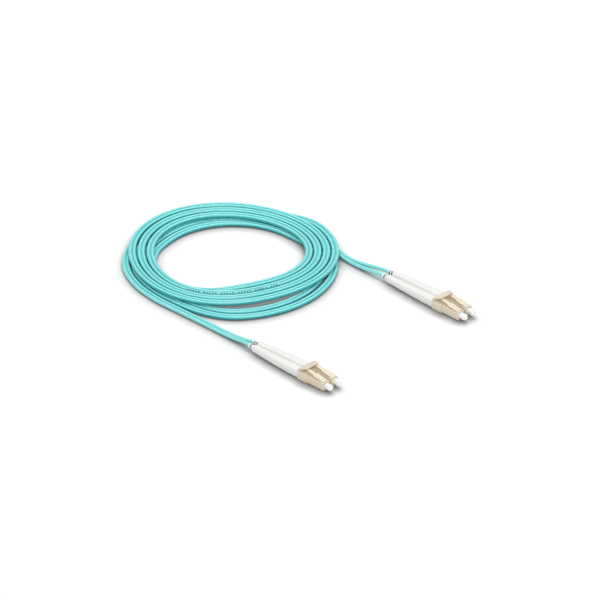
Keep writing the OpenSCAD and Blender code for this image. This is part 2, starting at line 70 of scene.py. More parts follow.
def addMesh(name, bm, material, smoothAngle=35):
    mesh = bpy.data.meshes.new(name)
    for face in bm.faces:
        face.smooth = True
    bm.to_mesh(mesh)
    bm.free()
    mesh.set_sharp_from_angle(angle=math.radians(smoothAngle))
    mesh.materials.append(material)
    return mesh


def newGroup(name, inputs, outputs):
    group = bpy.data.node_groups.new(name, "ShaderNodeTree")
    kinds = {"value": "NodeSocketFloat", "vector": "NodeSocketVector"}
    for socketName, kind in inputs:
        group.interface.new_socket(socketName, in_out="INPUT", socket_type=kinds[kind])
    for socketName, kind in outputs:
        group.interface.new_socket(socketName, in_out="OUTPUT", socket_type=kinds[kind])
    return group, group.nodes.new("NodeGroupInput"), group.nodes.new("NodeGroupOutput")


def mathNode(tree, operation, first, second=None, third=None, clamp=False):
    node = tree.nodes.new("ShaderNodeMath")
    node.operation = operation
    node.use_clamp = clamp
    for socket, value in zip(node.inputs, (first, second, third)):
        if isinstance(value, (int, float)):
            socket.default_value = value
        elif value is not None:
            tree.links.new(value, socket)
    return node.outputs[0]


# the studio

cameraSettings = {
    "target": Vector((-0.0469, 0.0028, 0.0)),
    "azimuth": 44.4,  # degrees round from looking along +Y
    "elevation": 30.7,
    "frameWidth": 0.3125,  # what the picture takes in at the target
    "lens": 1500,
    "sensor": 36,
    "seesTo": 60,
}


def directionFrom(azimuth, elevation):
    a, e = math.radians(azimuth), math.radians(elevation)
    return Vector((math.sin(a) * math.cos(e), -math.cos(a) * math.cos(e), math.sin(e)))


def makeCamera(settings):
    camera = bpy.data.objects.new("camera", bpy.data.cameras.new("camera"))
    scene.collection.objects.link(camera)
    camera.data.lens = settings["lens"]
    camera.data.sensor_width = settings["sensor"]
    back = directionFrom(settings["azimuth"], settings["elevation"])
    distance = settings["frameWidth"] * settings["lens"] / settings["sensor"]
    camera.location = settings["target"] + back * distance
    camera.rotation_mode = "QUATERNION"
    camera.rotation_quaternion = (-back).to_track_quat("-Z", "Y")
    camera.data.clip_end = settings["seesTo"]
    scene.camera = camera
    scene.view_settings.view_transform = "Standard"


lightSettings = {
    "worldStrength": 0.57,
    "seenStrength": 0.55,  # how bright the studio looks in gloss and through clear pieces
    "middle": Vector((-0.05, 0.0, 0.0)),
    "softboxes": [  # compass place and height in degrees, distance, size and power
        {"azimuth": 225, "elevation": 55, "distance": 1.1, "size": (0.7, 0.5), "power": 5.0},
        {"azimuth": 52, "elevation": 34, "distance": 1.3, "size": (1.1, 0.6), "power": 6.2},
    ],
}


def makeLights(settings):
    world = bpy.data.worlds.new("studio")
    scene.world = world
    world.use_nodes = True
    tree = world.node_tree
    nodes, links = tree.nodes, tree.links
    background = nodes["Background"]
    background.inputs["Color"].default_value = (1, 1, 1, 1)
    rays = nodes.new("ShaderNodeLightPath").outputs
    seen = mathNode(tree, "MAXIMUM", rays["Is Camera Ray"], rays["Is Glossy Ray"])
    seen = mathNode(tree, "MAXIMUM", seen, rays["Is Transmission Ray"])
    strength = nodes.new("ShaderNodeMix")
    strength.inputs["A"].default_value = settings["worldStrength"]
    strength.inputs["B"].default_value = settings["seenStrength"]
    links.new(seen, strength.inputs["Factor"])
    links.new(strength.outputs["Result"], background.inputs["Strength"])
    for number, softbox in enumerate(settings["softboxes"]):
        data = bpy.data.lights.new(f"softbox{number}", "AREA")
        data.shape = "RECTANGLE"
        data.size, data.size_y = softbox["size"]
        data.energy = softbox["power"]
        lamp = bpy.data.objects.new(data.name, data)
        away = directionFrom(softbox["azimuth"], softbox["elevation"])
        lamp.location = settings["middle"] + away * softbox["distance"]
        lamp.rotation_mode = "QUATERNION"
        lamp.rotation_quaternion = (-away).to_track_quat("-Z", "Y")
        scene.collection.objects.link(lamp)


floorSettings = {
    "size": 6.0,
    "colour": (0.92, 0.92, 0.92, 1),
    "reach": 0.0065,  # how far from the object the painted shadow still darkens the floor
    "depth": 1.3,  # how strongly it does
    "shadeFrom": (225, 25),  # compass place and height that the painted shadow's side of the floor looks toward
    "cameraGlow": 0.1,
    "samples": 8,
}


def makeFloor(settings):
    material = bpy.data.materials.new("studioFloor")
    material.use_nodes = True
    tree = material.node_tree
    nodes, links = tree.nodes, tree.links
    nodes.clear()
    output = nodes.new("ShaderNodeOutputMaterial")
    # painted shadow: an ambient-occlusion test darkens the floor's colour and its glow near the object, on
    # the side that looks toward the back, over the lamps' own shadows
    openness = nodes.new("ShaderNodeAmbientOcclusion")
    openness.inputs["Distance"].default_value = settings["reach"]
    openness.samples = settings["samples"]
    toward = nodes.new("ShaderNodeCombineXYZ")
    for socket, value in zip(toward.inputs, directionFrom(*settings["shadeFrom"])):
        socket.default_value = value
    links.new(toward.outputs[0], openness.inputs["Normal"])
    shaded = mathNode(tree, "POWER", openness.outputs["AO"], settings["depth"])
    colour = nodes.new("ShaderNodeVectorMath")
    colour.operation = "SCALE"
    colour.inputs[0].default_value = settings["colour"][:3]
    links.new(shaded, colour.inputs["Scale"])
    diffuse = nodes.new("ShaderNodeBsdfDiffuse")
    links.new(colour.outputs[0], diffuse.inputs["Color"])
    glow = nodes.new("ShaderNodeEmission")
    rays = nodes.new("ShaderNodeLightPath")
    level = mathNode(tree, "MULTIPLY", rays.outputs["Is Camera Ray"], settings["cameraGlow"])
    links.new(mathNode(tree, "MULTIPLY", level, shaded), glow.inputs["Strength"])
    both = nodes.new("ShaderNodeAddShader")
    links.new(diffuse.outputs[0], both.inputs[0])
    links.new(glow.outputs[0], both.inputs[1])
    links.new(both.outputs[0], output.inputs["Surface"])
    bm = bmesh.new()
    bmesh.ops.create_grid(bm, x_segments=1, y_segments=1, size=settings["size"] / 2)
    floor = bpy.data.objects.new("floor", addMesh("floor", bm, material))
    scene.collection.objects.link(floor)


makeCamera(cameraSettings)
makeLights(lightSettings)
makeFloor(floorSettings)
print("studio ready")


# finishes of the record's material slots

def makeGrainGroup():
    # grain of a moulded or extruded surface: slow clouds in tint and gloss, fine grain in height
    group, source, result = newGroup(
        "mouldedGrain", [("Scale", "value"), ("Tint", "value"), ("Rough", "value")],
        [("Shade", "value"), ("Roughness", "value"), ("Height", "value")])
    nodes, links = group.nodes, group.links
    place = nodes.new("ShaderNodeTexCoord")
    clouds = nodes.new("ShaderNodeTexNoise")
    clouds.inputs["Detail"].default_value = 3
    fine = nodes.new("ShaderNodeTexNoise")
    fine.inputs["Detail"].default_value = 4
    links.new(source.outputs["Scale"], clouds.inputs["Scale"])
    links.new(mathNode(group, "MULTIPLY", source.outputs["Scale"], 14), fine.inputs["Scale"])
    for noise in (clouds, fine):
        links.new(place.outputs["Object"], noise.inputs["Vector"])
    drift = mathNode(group, "SUBTRACT", clouds.outputs["Fac"], 0.5)
    links.new(mathNode(group, "MULTIPLY_ADD", drift, source.outputs["Tint"], 1), result.inputs["Shade"])
    links.new(mathNode(group, "MULTIPLY", drift, source.outputs["Rough"]), result.inputs["Roughness"])
    links.new(fine.outputs["Fac"], result.inputs["Height"])
    return group


grainGroup = makeGrainGroup()


def makeFinish(name, colour, roughness, grain=250, tint=0.12, roughChange=0.15, bump=0.00002, metallic=0.0,
               coat=0.0, subsurface=0.0, alpha=1.0, specular=0.5):
    material = bpy.data.materials.new(name)
    material.use_nodes = True
    tree = material.node_tree
    nodes, links = tree.nodes, tree.links
    shader = nodes["Principled BSDF"]
    shader.inputs["Metallic"].default_value = metallic
    shader.inputs["Coat Weight"].default_value = coat
    shader.inputs["Coat Roughness"].default_value = 0.1
    shader.inputs["Subsurface Weight"].default_value = subsurface
    shader.inputs["Subsurface Scale"].default_value = 0.001
    shader.inputs["Specular IOR Level"].default_value = specular
    shader.inputs["Alpha"].default_value = alpha
    grainNode = nodes.new("ShaderNodeGroup")
    grainNode.name = "grain"
    grainNode.node_tree = grainGroup
    grainNode.inputs["Scale"].default_value = grain
    grainNode.inputs["Tint"].default_value = tint
    grainNode.inputs["Rough"].default_value = roughChange
    shade = nodes.new("ShaderNodeVectorMath")
    shade.name = "shade"
    shade.operation = "SCALE"
    shade.inputs[0].default_value = colour
    links.new(grainNode.outputs["Shade"], shade.inputs["Scale"])
    links.new(shade.outputs[0], shader.inputs["Base Color"])
    links.new(mathNode(tree, "ADD", grainNode.outputs["Roughness"], roughness, clamp=True),
              shader.inputs["Roughness"])
    relief = nodes.new("ShaderNodeBump")
    relief.name = "relief"
    relief.inputs["Strength"].default_value = 0.6
    relief.inputs["Distance"].default_value = bump
    links.new(grainNode.outputs["Height"], relief.inputs["Height"])
    links.new(relief.outputs["Normal"], shader.inputs["Normal"])
    return material


# pale aqua, for the paler ends of the cord and for the painted highlight along each jacket's top
paleAqua = (0.36, 0.86, 0.85)
cordFinish = {"colour": (0.16, 0.75, 0.74), "roughness": 0.26, "grain": 180, "tint": 0.1, "coat": 0.35}
finishes = {
    "plug_plastic": makeFinish("beigePlastic", (0.8, 0.7, 0.55), 0.42, tint=0.06, subsurface=0.05),
    "boot_rubber": makeFinish("whiteBoot", (0.86, 0.86, 0.84), 0.55, grain=400, tint=0.04, bump=0.00003),
    "cap_plastic": makeFinish("softCap", (0.92, 0.92, 0.91), 0.36, tint=0.03, subsurface=0.15),
    "cord_jacket": makeFinish("aquaJacket", **{**cordFinish, "colour": (0.25, 0.75, 0.74)}),
    "clear_sleeve": makeFinish("clearSleeve", (0.93, 0.95, 0.95), 0.18, tint=0.03, alpha=0.45),
    "buffer_plastic": makeFinish("bufferCoat", (0.12, 0.5, 0.52), 0.4, tint=0.08),
    "ceramic": makeFinish("ferruleCeramic", (0.9, 0.89, 0.84), 0.12, tint=0.03, coat=0.5),
    "plated_metal": makeFinish("platedMetal", (0.7, 0.69, 0.66), 0.32, metallic=1.0, tint=0.1),
    "spring_steel": makeFinish("springWire", (0.6, 0.6, 0.6), 0.28, metallic=1.0, tint=0.15),
    "crimp_metal": makeFinish("crimpMetal", (0.74, 0.74, 0.72), 0.38, metallic=1.0, tint=0.1),
}


def addRings(material, places, halfWidth, ink=(0.03, 0.03, 0.035)):
    # printed rings round a clear sleeve: one for the first leg, two for the second
    tree = material.node_tree
    nodes, links = tree.nodes, tree.links
    shader = nodes["Principled BSDF"]
    position = nodes.new("ShaderNodeTexCoord")
    split = nodes.new("ShaderNodeSeparateXYZ")
    links.new(position.outputs["Object"], split.inputs[0])
    rings = None
    for place in places:
        ring = mathNode(tree, "COMPARE", split.outputs["X"], place, halfWidth)
        rings = ring if rings is None else mathNode(tree, "MAXIMUM", rings, ring)
    colour = nodes.new("ShaderNodeMix")
    colour.data_type = "RGBA"
    plainColour = nodes["shade"].outputs[0]
    links.new(rings, colour.inputs["Factor"])
    links.new(plainColour, colour.inputs["A"])
    colour.inputs["B"].default_value = (*ink, 1)
    links.new(colour.outputs["Result"], shader.inputs["Base Color"])
    clear = shader.inputs["Alpha"].default_value
    links.new(mathNode(tree, "MULTIPLY_ADD", rings, 1 - clear, clear), shader.inputs["Alpha"])
    return material


sleeveLow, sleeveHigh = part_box("marker_sleeve_a1")
ringMiddle = (sleeveLow.x + sleeveHigh.x) / 2
sleeveFinish = {"colour": (0.93, 0.95, 0.95), "roughness": 0.18, "tint": 0.03, "alpha": 0.82}
ringSettings = {"singleHalf": 0.00032, "pairHalf": 0.0003, "fromMiddle": 0.0007}
sleeveFinishes = {
    -1: addRings(makeFinish("sleeveOneRing", **sleeveFinish), [ringMiddle], ringSettings["singleHalf"]),
    1: addRings(makeFinish("sleeveTwoRings", **sleeveFinish),
                [ringMiddle - ringSettings["fromMiddle"], ringMiddle + ringSettings["fromMiddle"]],
                ringSettings["pairHalf"]),
}

slotOfNode = {part["node"]: part["material_slot"] for part in frame["record"]["subparts"]}
for nodeName, cadNode in frame["nodes"].items():
    cadNode.data.materials.clear()
    cadNode.data.materials.append(finishes[slotOfNode[nodeName]])
print("finishes ready")


# how each connector's rear lies

# the boots bend toward each other, and the jackets, sleeves and fibres in them bend with them
bendSettings = {
    "start": 0.0005,  # x where the bend begins, just behind the crimp
    "bootRear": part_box("boot_a1")[0].x,
    "inward": {"a": 0.0011, "b": 0.0006},  # how far each boot's rear end moves in
}


def inwardAt(end, x, c=bendSettings):
    reach = max(0.0, c["start"] - x) / (c["start"] - c["bootRear"])
    return c["inward"][end] * (reach**2 if reach < 1 else 2 * reach - 1)


def plugAxis(plug):
    low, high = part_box(f"boot_{plug}")
    return (low + high) / 2


def sideOf(plug):
    return -1 if plug[1] == "1" else 1


def bendPlug(verts, plug):
    for vert in verts:
        vert.co.y -= sideOf(plug) * inwardAt(plug[0], vert.co.x)


# the cord

cordSettings = {
    "jacketRadius": 0.001,
    "joined": 0.00105,  # half the distance between the two jackets where they are joined
    "webRadius": 0.00032,
    "step": 0.002,
    "length": 2.05,
    "plugLead": 0.002,  # straight length left behind each jacket end
    "pointsPerTurn": 72,
    "jacketTwoStart": 10, "webStart": 20,  # where their lengths are counted from, apart from jacket one's
}

coilSettings = {  # metres and degrees, as in the part's source
    "centre": (-0.0975, 0.0035),
    "startAngle": 88.8,
    "first": -1 / 24, "last": 6 + 11 / 24,
    "lowerPitch": 0.00462, "lowerRadius": 0.051,
    "startTurns": 0.25, "startSwing": 0.0033, "startSwingEnd": 0.1,
    "frontWindow": (40, 90), "frontSwing": 0.0069, "frontLoss": 0.0007, "frontLossFrom": 0.75,
    "leftWindow": (8, 36), "leftAngle": 222, "leftSwing": 0.0013,
    "reverse": (2.38, 2.55), "climb": (2.51, 2.66), "layerRise": 0.00245,
    "upperFirst": 2.63, "upperRadius": 0.03735, "upperPitch": 0.00482,
    "pitchSwell": 0.00025, "swellAngle": 350,
    "upperLean": 0.00735, "leanAngle": 144,
    "upperOval": 0.0012, "ovalAngle": 63, "upperCorner": 0.0012, "cornerAngle": 52,
    "tuck": (5.97, 6.14), "drop": (5.97, 6.05),
    "lastRadius": 0.05535, "endBend": 0.0016, "bend": (6.37, 6.47),
}

routeA = [  # x, y, z and half the distance between the jackets, from the coil to the plugs
    (-0.098, -0.0501, 0.001, 0.00105), (-0.09, -0.0501, 0.001, 0.00105), (-0.082, -0.05, 0.001, 0.00105),
    (-0.074, -0.0499, 0.001, 0.00105), (-0.066, -0.0498, 0.001, 0.00105),
    (-0.058, -0.0498, 0.00105, 0.00105), (-0.05, -0.0499, 0.0012, 0.00105),
    (-0.043, -0.05, 0.0016, 0.00105), (-0.038, -0.05, 0.0021, 0.00105), (-0.0345, -0.05, 0.0026, 0.00112),
]
routeB = [
    (-0.069, 0.0515, 0.001, 0.00105), (-0.062, 0.0497, 0.001, 0.00105), (-0.057, 0.049, 0.001, 0.00112),
    (-0.051, 0.0489, 0.0011, 0.0014), (-0.045, 0.0492, 0.0015, 0.00175), (-0.039, 0.0497, 0.0021, 0.0021),
    (-0.0345, 0.0499, 0.0026, 0.0023),
]


def smooth(start, stop, x):
    s = min(1.0, max(0.0, (x - start) / (stop - start)))
    return s * s * (3 - 2 * s)


def cosDegrees(angle):
    return math.cos(math.radians(angle))


def coilPoint(turn, c=coilSettings):
    angle = c["startAngle"] + 360 * turn

    def near(window, middle):
        return 1 - smooth(*window, abs((angle - middle + 540) % 360 - 180))

    if turn < c["startTurns"]:
        swing = c["startSwing"] * (1 - smooth(c["first"], c["startSwingEnd"], turn))
    else:
        frontSwing = c["frontSwing"] - c["frontLoss"] * (turn - c["frontLossFrom"])
        swing = (near(c["frontWindow"], 0) * frontSwing
                 + near(c["leftWindow"], c["leftAngle"]) * c["leftSwing"])
    lower = c["lowerRadius"] - c["lowerPitch"] * turn + swing
    pitch = c["upperPitch"] + c["pitchSwell"] * cosDegrees(2 * (angle - c["swellAngle"]))
    upper = (c["upperRadius"] + pitch * (turn - c["upperFirst"])
             + c["upperLean"] * cosDegrees(angle - c["leanAngle"])
             + c["upperOval"] * cosDegrees(2 * (angle - c["ovalAngle"]))
             + c["upperCorner"] * cosDegrees(3 * (angle - c["cornerAngle"])))
    up = smooth(*c["reverse"], turn)
    tuck = smooth(*c["tuck"], turn)
    last = c["lastRadius"] - c["endBend"] * smooth(*c["bend"], turn)
    radius = (lower * (1 - up) + upper * up) * (1 - tuck) + last * tuck
    height = cordSettings["jacketRadius"] + (
        c["layerRise"] * smooth(*c["climb"], turn) * (1 - smooth(*c["drop"], turn)))
    a = math.radians(angle)
    return Vector((c["centre"][0] + radius * math.cos(a), c["centre"][1] + radius * math.sin(a), height))


def wholeRoute():
    c = coilSettings
    joined, perTurn = cordSettings["joined"], cordSettings["pointsPerTurn"]
    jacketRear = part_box("cord_jacket_a1")[0].x
    ending = {}
    for end in ends:
        first, second = plugAxis(f"{end}1"), plugAxis(f"{end}2")
        middle = (first + second) / 2
        ending[end] = [(x, middle.y, middle.z, (second.y - first.y) / 2 - inwardAt(end, x))
                       for x in (jacketRear - cordSettings["plugLead"], jacketRear)]
    turns = [c["first"] + i / perTurn for i in range(round((c["last"] - c["first"]) * perTurn) + 1)]
    coil = [(*coilPoint(t), joined) for t in turns]
    return [*reversed(routeB + ending["b"])] + coil + routeA + ending["a"]


def smoothRoute(points, step):
    # an even walk along a smooth curve through the points
    fine = []
    for i in range(len(points) - 1):
        p = [Vector(points[max(0, min(len(points) - 1, i + k))]) for k in (-1, 0, 1, 2)]
        span = (p[2].xyz - p[1].xyz).length
        count = max(1, round(span / (step / 4)))
        before = max(1e-6, (p[1].xyz - p[0].xyz).length)
        after = max(1e-6, (p[3].xyz - p[2].xyz).length)
        straight = (p[2] - p[1]) / span
        m1 = ((p[1] - p[0]) / before + straight) / 2 if i > 0 else straight
        m2 = ((p[3] - p[2]) / after + straight) / 2 if i < len(points) - 2 else straight
        for j in range(count):
            s = j / count
            fine.append(p[1] * (2 * s**3 - 3 * s**2 + 1) + m1 * span * (s**3 - 2 * s**2 + s)
                        + p[2] * (3 * s**2 - 2 * s**3) + m2 * span * (s**3 - s**2))
    fine.append(Vector(points[-1]))
    walked = [fine[0]]
    left = step
    for q, r in zip(fine, fine[1:]):
        left -= (r.xyz - q.xyz).length
        if left <= 0:
            walked.append(r)
            left += step
    if (walked[-1].xyz - fine[-1].xyz).length < step / 2:
        walked.pop()
    walked.append(fine[-1])
    return walked


def addTube(bm, name, centres, radius, roundness=4, first=0.0):
    # a round tube along the points, with its length and its way round kept as UV
    curve = bpy.data.curves.new(name, "CURVE")
    curve.dimensions = "3D"
    curve.twist_mode = "Z_UP"
    curve.bevel_depth = radius
    curve.bevel_resolution = roundness
    spline = curve.splines.new("POLY")
    spline.points.add(len(centres) - 1)
    for point, centre in zip(spline.points, centres):
        point.co = (*centre, 1)
    holder = bpy.data.objects.new(name, curve)
    mesh = bpy.data.meshes.new_from_object(holder)
    bpy.data.objects.remove(holder)
    bpy.data.curves.remove(curve)
    walked = [first]
    for before, after in zip(centres, centres[1:]):
        walked.append(walked[-1] + (after - before).length)
    tube = bmesh.new()
    tube.from_mesh(mesh)
    tube.verts.ensure_lookup_table()
    sides = len(tube.verts) // len(centres)
    for layer in list(tube.loops.layers.uv.values()):
        tube.loops.layers.uv.remove(layer)
    uvLayer = tube.loops.layers.uv.new("alongCord")
    for face in tube.faces:
        steps = [loop.vert.index % sides for loop in face.loops]
        wraps = max(steps) - min(steps) > 1
        for loop, step in zip(face.loops, steps):
            around = (sides if wraps and step == 0 else step) / sides
            loop[uvLayer].uv = (walked[loop.vert.index // sides], around)
    bmesh.ops.holes_fill(tube, edges=[e for e in tube.edges if e.is_boundary])
    tube.to_mesh(mesh)
    tube.free()
    bm.from_mesh(mesh)
    bpy.data.meshes.remove(mesh)


# print on the jacket, with the painted shade and painted highlight of its colour
printAndPaintedLightSettings = {
    "turn": 3.53,  # where on the coil one run of marks begins
    "repeat": 1.25, "run": 0.049,
    "mark": 0.0015, "markShare": 0.62, "word": 0.009, "wordShare": 0.82,
    "around": 0.25, "halfHeight": 0.052,  # as shares of the way round
    "ink": (0.02, 0.08, 0.09, 1),
    "ribs": 30, "ribHeight": 0.35,
    "top": 1 / 6,
    "paintedShadeColour": (0.015, 0.36, 0.39, 1),  # painted shade: deeper low on the sides, where the loops touch and shade each other
    "paintedShadeShare": 0.8, "paintedShadeFrom": 0.74, "paintedShadeTo": 0.32,
    "paintedHighlightShare": 0.5, "paintedHighlightFrom": 0.8,  # painted highlight: a little paler along the top of each jacket
    "paleEnds": 0.06, "paleFade": 0.05, "paleShare": 0.55,  # both ends of the cord are a little paler
}


def addCordDetail(material, start, c=printAndPaintedLightSettings):
    # fine ribs along the jackets, runs of small plain dashes printed on one of them, painted shade low on
    # the sides of each jacket and a painted highlight along its top
    tree = material.node_tree
    nodes, links = tree.nodes, tree.links
    place = nodes.new("ShaderNodeUVMap")
    place.uv_map = "alongCord"
    split = nodes.new("ShaderNodeSeparateXYZ")
    links.new(place.outputs[0], split.inputs[0])
    along, around = split.outputs["X"], split.outputs["Y"]
    ribs = mathNode(tree, "SINE", mathNode(tree, "MULTIPLY", around, 2 * math.pi * c["ribs"]))
    height = mathNode(tree, "MULTIPLY_ADD", ribs, c["ribHeight"], nodes["grain"].outputs["Height"])
    links.new(height, nodes["relief"].inputs["Height"])
    run = mathNode(tree, "FLOORED_MODULO", mathNode(tree, "SUBTRACT", along, start), c["repeat"])
    tests = [
        mathNode(tree, "LESS_THAN", along, cordSettings["jacketTwoStart"] / 2),  # the first jacket only
        mathNode(tree, "LESS_THAN", run, c["run"]),
        mathNode(tree, "LESS_THAN", mathNode(tree, "FLOORED_MODULO", run, c["mark"]),
                 c["mark"] * c["markShare"]),
        mathNode(tree, "LESS_THAN", mathNode(tree, "FLOORED_MODULO", run, c["word"]),
                 c["word"] * c["wordShare"]),
        mathNode(tree, "COMPARE", around, c["around"], c["halfHeight"]),
    ]
    inked = tests[0]
    for test in tests[1:]:
        inked = mathNode(tree, "MULTIPLY", inked, test)
    # lengths are counted from a multiple of jacket two's start, so the remainder is each one's own
    ownLength = mathNode(tree, "FLOORED_MODULO", along, cordSettings["jacketTwoStart"])
    toFarEnd = mathNode(tree, "SUBTRACT", cordSettings["length"], ownLength)
    fromEnd = mathNode(tree, "MINIMUM", ownLength, toFarEnd)
    pale = mathNode(tree, "DIVIDE", mathNode(tree, "SUBTRACT", c["paleEnds"] + c["paleFade"], fromEnd),
                    c["paleFade"], clamp=True)
    # painted highlight: the top of each jacket is mixed toward pale aqua, as is each end of the cord
    turnedFromTop = mathNode(tree, "MULTIPLY", mathNode(tree, "SUBTRACT", around, c["top"]), 2 * math.pi)
    upward = mathNode(tree, "COSINE", turnedFromTop)
    paintedHighlightMask = mathNode(tree, "DIVIDE", mathNode(tree, "SUBTRACT", upward, c["paintedHighlightFrom"]),
                     1 - c["paintedHighlightFrom"], clamp=True)
    paleEndsAndPaintedHighlight = nodes.new("ShaderNodeMix")
    paleEndsAndPaintedHighlight.data_type = "RGBA"
    links.new(mathNode(tree, "MAXIMUM", mathNode(tree, "MULTIPLY", pale, c["paleShare"]),
                       mathNode(tree, "MULTIPLY", paintedHighlightMask, c["paintedHighlightShare"])), paleEndsAndPaintedHighlight.inputs["Factor"])
    links.new(nodes["shade"].outputs[0], paleEndsAndPaintedHighlight.inputs["A"])
    paleEndsAndPaintedHighlight.inputs["B"].default_value = (*paleAqua, 1)
    # painted shade: low on the sides of each jacket, where the loops touch and shade each other, the
    # colour is deepened toward a dark teal, except near the paler ends
    facingUp = mathNode(tree, "DIVIDE", mathNode(tree, "SUBTRACT", upward, c["paintedShadeTo"]),
                        c["paintedShadeFrom"] - c["paintedShadeTo"], clamp=True)
    paintedShadeMask = mathNode(tree, "SUBTRACT", 1, mathNode(tree, "MAXIMUM", facingUp, pale))
    paintedShadeMix = nodes.new("ShaderNodeMix")
    paintedShadeMix.data_type = "RGBA"
    links.new(mathNode(tree, "MULTIPLY", paintedShadeMask, c["paintedShadeShare"]), paintedShadeMix.inputs["Factor"])
    links.new(paleEndsAndPaintedHighlight.outputs["Result"], paintedShadeMix.inputs["A"])
    paintedShadeMix.inputs["B"].default_value = c["paintedShadeColour"]
    colour = nodes.new("ShaderNodeMix")
    colour.data_type = "RGBA"
    links.new(inked, colour.inputs["Factor"])
    links.new(paintedShadeMix.outputs["Result"], colour.inputs["A"])
    colour.inputs["B"].default_value = c["ink"]
    links.new(colour.outputs["Result"], nodes["Principled BSDF"].inputs["Base Color"])
    return material


def makeCord(settings):
    route = smoothRoute(wholeRoute(), settings["step"])
    ahead = [(route[min(i + 1, len(route) - 1)] - route[max(i - 1, 0)]).xyz for i in range(len(route))]
    across = [Vector((-a.y, a.x, 0)).normalized() for a in ahead]
    bm = bmesh.new()
    lines = {side: [p.xyz + n * side * p.w for p, n in zip(route, across)] for side in (-1, 1)}
    addTube(bm, "jacketOne", lines[-1], settings["jacketRadius"])
    addTube(bm, "jacketTwo", lines[1], settings["jacketRadius"],
            first=settings["jacketTwoStart"])
    joined = [i for i, p in enumerate(route) if p.w < settings["joined"] + 0.00001]
    web = [p.xyz for p in route[joined[0]:joined[-1] + 1]]
    addTube(bm, "web", web, settings["webRadius"], roundness=1, first=settings["webStart"])
    printPlace = coilPoint(printAndPaintedLightSettings["turn"])
    nearest = min(range(len(route)), key=lambda i: (route[i].xyz - printPlace).length)
    printStart = sum((lines[-1][i + 1] - lines[-1][i]).length for i in range(nearest))
    jacketFinish = addCordDetail(makeFinish("printedJacketPaintedLight", **cordFinish), printStart)
    bmesh.ops.recalc_face_normals(bm, faces=bm.faces)
    cordMesh = addMesh("zipcordMesh", bm, jacketFinish, 60)
    cord = addObject("zipcord", cordMesh, root, "cord_jacket", "cord_coil", "cord_tail_a", "cord_tail_b")
    return cord


makeCord(cordSettings)
print("cord ready")


# boots, sleeves and what runs through them

def lathe(profile, steps, centre):
    # a closed outline of (x, radius) points, spun round an axis along x through the centre
    bm = bmesh.new()
    verts = [bm.verts.new((x, 0, radius)) for x, radius in profile]
    edges = [bm.edges.new(pair) for pair in zip(verts, verts[1:] + verts[:1])]
    bmesh.ops.spin(bm, geom=verts + edges, cent=(0, 0, 0), axis=(1, 0, 0), angle=2 * math.pi,
                   steps=steps, use_merge=True)
    bmesh.ops.remove_doubles(bm, verts=bm.verts, dist=0.0000005)
    bmesh.ops.recalc_face_normals(bm, faces=bm.faces)
    bmesh.ops.translate(bm, vec=(0, centre.y, centre.z), verts=bm.verts)
    return bm


def evenSteps(start, stop, pitch):
    count = max(1, round(abs(stop - start) / pitch))
    return [start + (stop - start) * i / count for i in range(count + 1)]


bootSettings = {
    "gripLength": 0.007,
    "rearHalf": 0.0018,
    "edge": 0.0003,  # rounding of both ends
    "frontBore": 0.0017, "rearBore": 0.00105,
    "frontBoreShare": 0.24, "rearBoreShare": 0.26,  # how far back each bore ends and begins
    "boreMargin": 0.00002,
    "slotPitch": 0.0012, "slotHalf": 0.0002, "slotDepth": 0.00022,
    "slotsFrom": 0.009, "slotsTo": 0.0335,  # distances behind the front
    "squareness": 4.5,  # 2 is round
    "squareLoss": 0.45,  # how much rounder the rear is
    "slotFade": (0.5, 1.2), "slotReach": (0.35, 0.6), "fillReach": 0.5,
    "innerFill": {"a": 0.00045, "b": 0.0005},  # the sides that face each other stand out further
    "rearFillShare": {"a": 0.2, "b": 0.7},
    "pitch": 0.00015,
    "steps": 48,
}


